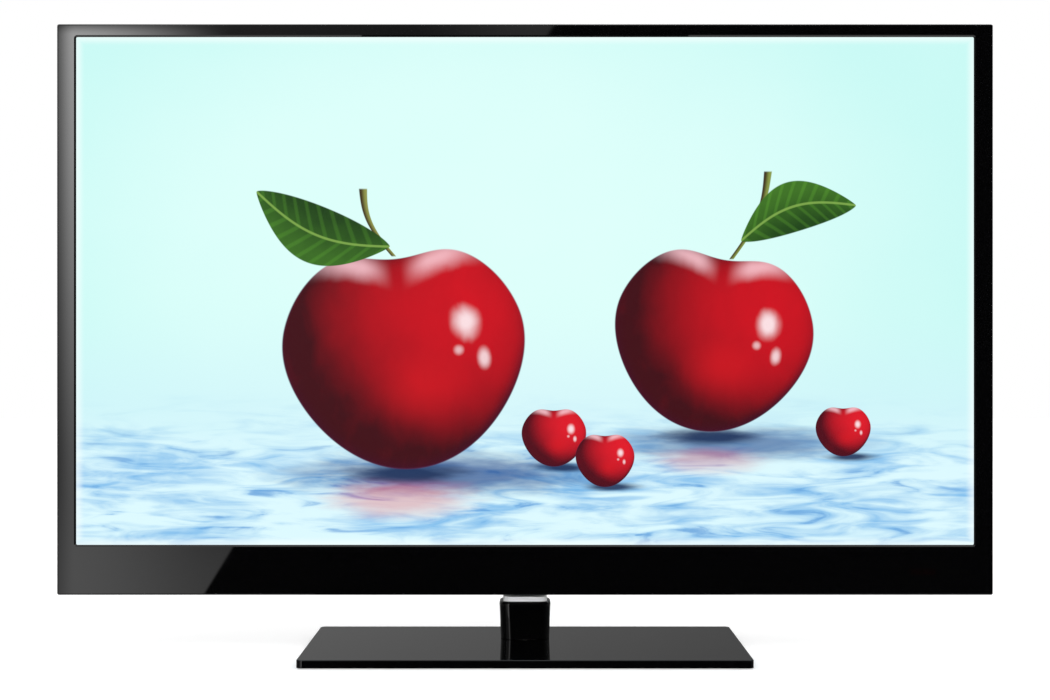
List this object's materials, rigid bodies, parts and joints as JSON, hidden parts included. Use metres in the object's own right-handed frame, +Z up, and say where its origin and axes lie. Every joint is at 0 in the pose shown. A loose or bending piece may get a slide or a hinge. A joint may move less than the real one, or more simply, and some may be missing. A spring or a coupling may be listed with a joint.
{
  "type": "flat screen television",
  "caption": "Flat screen television with gloss black bezel and lit picture face, on a low pedestal whose short neck swivels on a flat rectangular base.",
  "frame": {"origin": "on the floor under the middle of the base", "axes": "+X to the viewer's right along the width, -Y out of the screen towards the viewer, +Z up"},
  "size_m": [0.969, 0.23, 0.6497],
  "materials": {
    "gloss_black": "piano gloss",
    "bright_trim": "bright anodised",
    "foot_rubber": "matt",
    "foam": "foam",
    "zinc_steel": "zinc plated",
    "cast_metal": "black powder coat",
    "sink_metal": "extruded",
    "bare_screws": "zinc plated",
    "black_screws": "black oxide",
    "bearing_plastic": "natural acetal",
    "screen": "gloss, showing a picture",
    "dark_lens": "gloss",
    "clear_sheet": "clear",
    "white_sheet": "matt",
    "matte_black": "fine spark texture",
    "key_black": "satin",
    "board_green": "solder mask",
    "amber_film": "film",
    "ribbon_white": "film",
    "wound_parts": "satin",
    "cone_paper": "pressed paper",
    "wire_skin": "satin",
    "socket_metal": "nickel plated",
    "socket_black": "moulded",
    "socket_blue": "moulded",
    "phono_metal": "nickel plated"
  },
  "bodies": {
    "base": {"base_cover": "gloss_black", "base_weight_plate": "zinc_steel", "base_feet": "foot_rubber", "base_screws": "bare_screws", "swivel_bush": "bearing_plastic"},
    "head": {"neck_cover_front": "gloss_black", "neck_cover_rear": "gloss_black", "front_bezel": "gloss_black", "neck_cap": "bright_trim", "window_gasket": "foam", "back_plate": "zinc_steel", "cell_front_frame": "zinc_steel", "stand_bracket": "zinc_steel", "panel_clips": "zinc_steel", "swivel_retainer": "zinc_steel", "wall_mount_pillars": "zinc_steel", "tuner_can": "zinc_steel", "neck_column": "cast_metal", "main_heatsink": "sink_metal", "power_heatsinks": "sink_metal", "led_bars": "sink_metal", "swivel_screws": "bare_screws", "chassis_screws": "bare_screws", "rear_cover_screws": "black_screws", "stand_screws": "black_screws", "swivel_washer": "bearing_plastic", "lcd_cell": "screen", "ir_lens": "dark_lens", "optical_sheets": "clear_sheet", "light_guide": "clear_sheet", "reflector_sheet": "white_sheet", "led_packages": "white_sheet", "rear_cover": "matte_black", "mid_frame": "matte_black", "key_carrier": "matte_black", "speaker_boxes": "matte_black", "main_board": "board_green", "power_board": "board_green", "timing_board": "board_green", "source_boards": "board_green", "ir_board": "board_green", "key_board": "board_green", "flex_films": "amber_film", "ribbon_cable": "ribbon_white", "power_components": "wound_parts", "speaker_cones": "cone_paper", "wire_harness": "wire_skin", "hdmi_sockets": "socket_metal", "usb_socket": "socket_metal", "lan_socket": "socket_metal", "inlet_pins": "socket_metal", "mains_inlet": "socket_black", "headphone_jack": "socket_black", "vga_socket": "socket_blue", "phono_jacks": "phono_metal"},
    "power_key": {"power_key": "key_black"},
    "source_key": {"source_key": "key_black"},
    "menu_key": {"menu_key": "key_black"},
    "channel_rocker": {"channel_rocker": "key_black"},
    "volume_rocker": {"volume_rocker": "key_black"}
  },
  "joints": [
    {"name": "neck_swivel", "type": "hinge", "parent": "base", "child": "head", "pos_m": [0, 0.0395, 0.0092], "axis": [0, 0, 1], "range_deg": [-20, 20]},
    {"name": "power_key_press", "type": "slide", "parent": "head", "child": "power_key", "axis": [-1, 0, 0], "range_m": [0, 0.0005], "stiffness_N_per_m": 2000},
    {"name": "source_key_press", "type": "slide", "parent": "head", "child": "source_key", "axis": [-1, 0, 0], "range_m": [0, 0.0005], "stiffness_N_per_m": 2000},
    {"name": "menu_key_press", "type": "slide", "parent": "head", "child": "menu_key", "axis": [-1, 0, 0], "range_m": [0, 0.0005], "stiffness_N_per_m": 2000},
    {"name": "channel_rocker_tilt", "type": "hinge", "parent": "head", "child": "channel_rocker", "pos_m": [0.4808, 0.016, 0.3477], "axis": [0, 1, 0], "range_deg": [-2.5, 2.5], "stiffness_Nm_per_rad": 0.33},
    {"name": "volume_rocker_tilt", "type": "hinge", "parent": "head", "child": "volume_rocker", "pos_m": [0.4808, 0.016, 0.3157], "axis": [0, 1, 0], "range_deg": [-2.5, 2.5], "stiffness_Nm_per_rad": 0.33}
  ]
}
